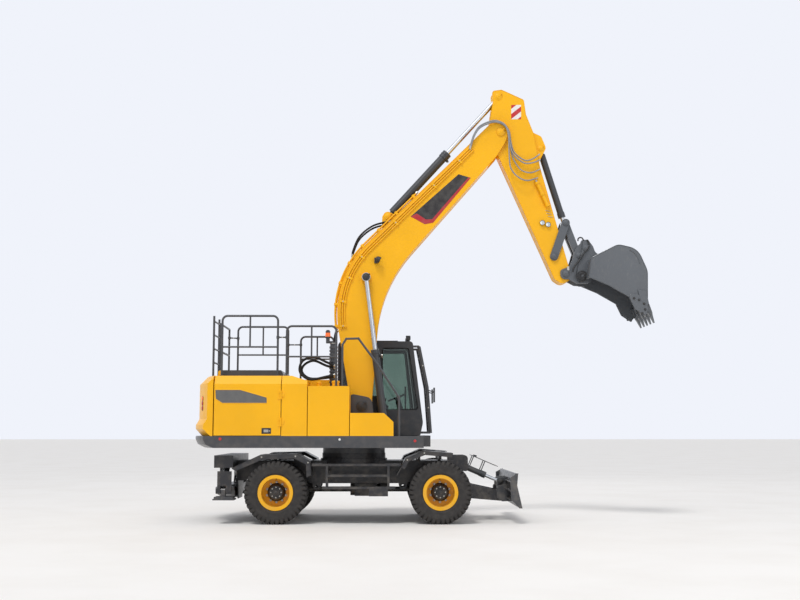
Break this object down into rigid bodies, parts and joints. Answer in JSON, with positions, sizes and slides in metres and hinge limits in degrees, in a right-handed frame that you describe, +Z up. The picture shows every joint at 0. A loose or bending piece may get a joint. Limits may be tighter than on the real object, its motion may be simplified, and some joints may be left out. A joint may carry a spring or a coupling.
{
  "type": "wheeled excavator",
  "caption": "Wheeled excavator with twin tyres, dozer blade, rear outriggers, slewing upper body with side cab, one-piece bent boom, arm, coupler and toothed bucket.",
  "frame": {"origin": "middle of the outer box of the machine as it stands, on the ground", "axes": "+X towards the dozer blade and the bucket, +Y towards the cab side, +Z up"},
  "size_m": [8.2237, 2.668, 7.9076],
  "materials": {
    "frame_paint": "semi-gloss dark grey paint",
    "body_yellow": "gloss yellow paint",
    "cast_black": "painted black casting",
    "rim_paint": "gloss yellow-orange paint",
    "tyre_rubber": "matt black",
    "rod_chrome": "polished",
    "barrel_paint": "semi-gloss black paint",
    "tool_grey": "worn dark grey paint",
    "cab_paint": "satin black paint",
    "window_glass": "clear, slightly green",
    "seat_trim": "dark woven cover",
    "engine_grey": "grey enamel"
  },
  "bodies": {
    "chassis": {"chassis_frame": "frame_paint", "slew_ring": "cast_black", "rear_axle": "cast_black", "front_axle": "cast_black", "drive_line": "cast_black", "steps": "frame_paint", "mudguards": "frame_paint"},
    "knuckle_left": {"knuckle_left": "cast_black"},
    "knuckle_right": {"knuckle_right": "cast_black"},
    "tie_rod": {"tie_rod": "rod_chrome"},
    "wheels_front_left": {"tyres_front_left": "tyre_rubber", "rims_front_left": "rim_paint"},
    "wheels_front_right": {"tyres_front_right": "tyre_rubber", "rims_front_right": "rim_paint"},
    "wheels_rear_left": {"tyres_rear_left": "tyre_rubber", "rims_rear_left": "rim_paint"},
    "wheels_rear_right": {"tyres_rear_right": "tyre_rubber", "rims_rear_right": "rim_paint"},
    "blade": {"blade_arms": "frame_paint", "blade_board": "frame_paint"},
    "blade_barrels": {"blade_barrels": "barrel_paint"},
    "blade_rods": {"blade_rods": "rod_chrome"},
    "upper": {"upper_frame": "frame_paint", "counterweight": "body_yellow", "engine_block": "engine_grey", "right_body": "body_yellow", "tool_box": "body_yellow", "left_body": "body_yellow", "cab_shell": "cab_paint", "cab_glass": "window_glass", "operator_station": "seat_trim", "operator_seat": "seat_trim", "guard_rails": "frame_paint", "intake_stack": "frame_paint", "cab_rails": "frame_paint"},
    "cab_door": {"cab_door": "cab_paint", "door_glass": "window_glass"},
    "right_rear_door": {"right_rear_door": "body_yellow"},
    "left_rear_door": {"left_rear_door": "body_yellow"},
    "engine_hood": {"engine_hood": "frame_paint"},
    "boom": {"boom": "body_yellow"},
    "boom_barrels": {"boom_barrels": "barrel_paint"},
    "boom_rods": {"boom_rods": "rod_chrome"},
    "arm": {"arm": "body_yellow"},
    "arm_barrel": {"arm_barrel": "barrel_paint"},
    "arm_rod": {"arm_rod": "rod_chrome"},
    "bucket": {"quick_coupler": "tool_grey", "bucket": "tool_grey"},
    "rocker": {"rocker": "tool_grey"},
    "link": {"link": "tool_grey"},
    "bucket_barrel": {"bucket_barrel": "barrel_paint"},
    "bucket_rod": {"bucket_rod": "rod_chrome"},
    "outrigger_arm_left": {"outrigger_arm_left": "frame_paint"},
    "outrigger_pad_left": {"outrigger_pad_left": "frame_paint"},
    "outrigger_barrel_left": {"outrigger_barrel_left": "barrel_paint"},
    "outrigger_rod_left": {"outrigger_rod_left": "rod_chrome"},
    "outrigger_arm_right": {"outrigger_arm_right": "frame_paint"},
    "outrigger_pad_right": {"outrigger_pad_right": "frame_paint"},
    "outrigger_barrel_right": {"outrigger_barrel_right": "barrel_paint"},
    "outrigger_rod_right": {"outrigger_rod_right": "rod_chrome"}
  },
  "joints": [
    {"name": "swing", "type": "hinge", "parent": "chassis", "child": "upper", "pos_m": [-1.281, 0, 1.18], "axis": [0, 0, 1], "continuous": true},
    {"name": "steer_left", "type": "hinge", "parent": "chassis", "child": "knuckle_left", "pos_m": [0.224, 0.62, 0.53], "axis": [0, 0, 1], "range_deg": [-25, 25]},
    {"name": "front_wheel_left", "type": "hinge", "parent": "knuckle_left", "child": "wheels_front_left", "pos_m": [0.224, 0, 0.53], "axis": [0, 1, 0], "continuous": true},
    {"name": "rear_wheel_left", "type": "hinge", "parent": "chassis", "child": "wheels_rear_left", "pos_m": [-2.576, 0, 0.53], "axis": [0, 1, 0], "continuous": true},
    {"name": "steer_right", "type": "hinge", "parent": "chassis", "child": "knuckle_right", "pos_m": [0.224, -0.62, 0.53], "axis": [0, 0, 1], "range_deg": [-25, 25]},
    {"name": "front_wheel_right", "type": "hinge", "parent": "knuckle_right", "child": "wheels_front_right", "pos_m": [0.224, 0, 0.53], "axis": [0, 1, 0], "continuous": true},
    {"name": "rear_wheel_right", "type": "hinge", "parent": "chassis", "child": "wheels_rear_right", "pos_m": [-2.576, 0, 0.53], "axis": [0, 1, 0], "continuous": true},
    {"name": "tie_rod_turn", "type": "hinge", "parent": "knuckle_left", "child": "tie_rod", "pos_m": [-0.008, 0.62, 0.53], "axis": [0, 0, 1], "range_deg": [-25, 25]},
    {"name": "blade_lift", "type": "hinge", "parent": "chassis", "child": "blade", "pos_m": [0.649, 0, 0.52], "axis": [0, 1, 0], "range_deg": [0, 24]},
    {"name": "blade_swing", "type": "hinge", "parent": "chassis", "child": "blade_barrels", "pos_m": [0.674, 0, 0.956], "axis": [0, 1, 0], "range_deg": [0, 17.97]},
    {"name": "blade_stroke", "type": "slide", "parent": "blade_barrels", "child": "blade_rods", "axis": [0.9191, 0, -0.3941], "range_m": [-0.00001, 0.16168]},
    {"name": "outrigger_left", "type": "hinge", "parent": "chassis", "child": "outrigger_arm_left", "pos_m": [-1.281, 0.15, 0.47], "axis": [-1, 0, 0], "range_deg": [0, 30]},
    {"name": "outrigger_pad_level_left", "type": "hinge", "parent": "outrigger_arm_left", "child": "outrigger_pad_left", "pos_m": [-1.281, 1.04, 0.56], "axis": [-1, 0, 0], "range_deg": [-30, 0]},
    {"name": "outrigger_cylinder_swing_left", "type": "hinge", "parent": "chassis", "child": "outrigger_barrel_left", "pos_m": [-1.281, 0.42, 1.05], "axis": [-1, 0, 0], "range_deg": [0, 23.65]},
    {"name": "outrigger_cylinder_stroke_left", "type": "slide", "parent": "outrigger_barrel_left", "child": "outrigger_rod_left", "axis": [0, 0.8562, -0.5167], "range_m": [-0.00001, 0.31954]},
    {"name": "outrigger_right", "type": "hinge", "parent": "chassis", "child": "outrigger_arm_right", "pos_m": [-1.281, -0.15, 0.47], "axis": [1, 0, 0], "range_deg": [0, 30]},
    {"name": "outrigger_pad_level_right", "type": "hinge", "parent": "outrigger_arm_right", "child": "outrigger_pad_right", "pos_m": [-1.281, -1.04, 0.56], "axis": [1, 0, 0], "range_deg": [-30, 0]},
    {"name": "outrigger_cylinder_swing_right", "type": "hinge", "parent": "chassis", "child": "outrigger_barrel_right", "pos_m": [-1.281, -0.42, 1.05], "axis": [1, 0, 0], "range_deg": [0, 23.65]},
    {"name": "outrigger_cylinder_stroke_right", "type": "slide", "parent": "outrigger_barrel_right", "child": "outrigger_rod_right", "axis": [0, -0.8562, -0.5167], "range_m": [-0.00001, 0.31954]},
    {"name": "cab_door_open", "type": "hinge", "parent": "upper", "child": "cab_door", "pos_m": [-1.338, 1.264, 0], "axis": [0, 0, 1], "range_deg": [0, 150]},
    {"name": "right_rear_door_open", "type": "hinge", "parent": "upper", "child": "right_rear_door", "pos_m": [-2.495, -1.264, 0], "axis": [0, 0, 1], "range_deg": [0, 100]},
    {"name": "left_rear_door_open", "type": "hinge", "parent": "upper", "child": "left_rear_door", "pos_m": [-2.495, 1.264, 0], "axis": [0, 0, -1], "range_deg": [0, 100]},
    {"name": "engine_hood_open", "type": "hinge", "parent": "upper", "child": "engine_hood", "pos_m": [-3.599, 0, 2.587], "axis": [0, -1, 0], "range_deg": [0, 60]},
    {"name": "boom_lift", "type": "hinge", "parent": "upper", "child": "boom", "pos_m": [-1.141, 0, 2.006], "axis": [0, -1, 0], "range_deg": [-90, 2]},
    {"name": "boom_swing", "type": "hinge", "parent": "upper", "child": "boom_barrels", "pos_m": [-0.711, 0, 1.475], "axis": [0, -1, 0], "range_deg": [-81.06, 1.8]},
    {"name": "boom_stroke", "type": "slide", "parent": "boom_barrels", "child": "boom_rods", "axis": [-0.1232, 0, 0.9924], "range_m": [-0.8823, 0.01962]},
    {"name": "arm_crowd", "type": "hinge", "parent": "boom", "child": "arm", "pos_m": [1.42006, 0, 7.08705], "axis": [0, 1, 0], "range_deg": [-98, 12]},
    {"name": "arm_swing", "type": "hinge", "parent": "boom", "child": "arm_barrel", "pos_m": [-0.66682, 0, 5.51064], "axis": [0, 1, 0], "range_deg": [-1.83, 0.22]},
    {"name": "arm_stroke", "type": "slide", "parent": "arm_barrel", "child": "arm_rod", "axis": [0.6714, 0, 0.7411], "range_m": [-1.04477, 0.12794]},
    {"name": "bucket_curl", "type": "hinge", "parent": "arm", "child": "bucket", "pos_m": [2.59034, 0, 4.43367], "axis": [0, 1, 0], "range_deg": [-5, 145]},
    {"name": "rocker_turn", "type": "hinge", "parent": "arm", "child": "rocker", "pos_m": [2.38148, 0, 4.75359], "axis": [0, 1, 0], "range_deg": [-3.33, 96.61]},
    {"name": "link_turn", "type": "hinge", "parent": "bucket", "child": "link", "pos_m": [2.83534, 0, 4.77467], "axis": [0, 1, 0], "range_deg": [-89.05, 3.07]},
    {"name": "bucket_cylinder_swing", "type": "hinge", "parent": "arm", "child": "bucket_barrel", "pos_m": [2.1768, 0, 6.80111], "axis": [0, 1, 0], "range_deg": [-7.88, 0.27]},
    {"name": "bucket_cylinder_stroke", "type": "slide", "parent": "bucket_barrel", "child": "bucket_rod", "axis": [0.2896, 0, -0.9572], "range_m": [-0.03457, 1.00234]}
  ],
  "couplings": [
    {"joint": "steer_right", "follows": "steer_left", "ratio": 1},
    {"joint": "tie_rod_turn", "follows": "steer_left", "ratio": -1},
    {"joint": "blade_swing", "follows": "blade_lift", "ratio": 0.74884},
    {"joint": "blade_stroke", "follows": "blade_lift", "m_per_rad": 0.38596},
    {"joint": "outrigger_pad_level_left", "follows": "outrigger_left", "ratio": -1},
    {"joint": "outrigger_cylinder_swing_left", "follows": "outrigger_left", "ratio": 0.7882},
    {"joint": "outrigger_cylinder_stroke_left", "follows": "outrigger_left", "m_per_rad": 0.61025},
    {"joint": "outrigger_pad_level_right", "follows": "outrigger_right", "ratio": -1},
    {"joint": "outrigger_cylinder_swing_right", "follows": "outrigger_right", "ratio": 0.7882},
    {"joint": "outrigger_cylinder_stroke_right", "follows": "outrigger_right", "m_per_rad": 0.61025},
    {"joint": "boom_swing", "follows": "boom_lift", "ratio": 0.90071},
    {"joint": "boom_stroke", "follows": "boom_lift", "m_per_rad": 0.56169},
    {"joint": "arm_swing", "follows": "arm_crowd", "ratio": 0.018662},
    {"joint": "arm_stroke", "follows": "arm_crowd", "m_per_rad": 0.61082},
    {"joint": "rocker_turn", "follows": "bucket_curl", "ratio": 0.66628},
    {"joint": "link_turn", "follows": "bucket_curl", "ratio": -0.61417},
    {"joint": "bucket_cylinder_swing", "follows": "bucket_curl", "ratio": -0.054368},
    {"joint": "bucket_cylinder_stroke", "follows": "bucket_curl", "m_per_rad": 0.39607}
  ]
}
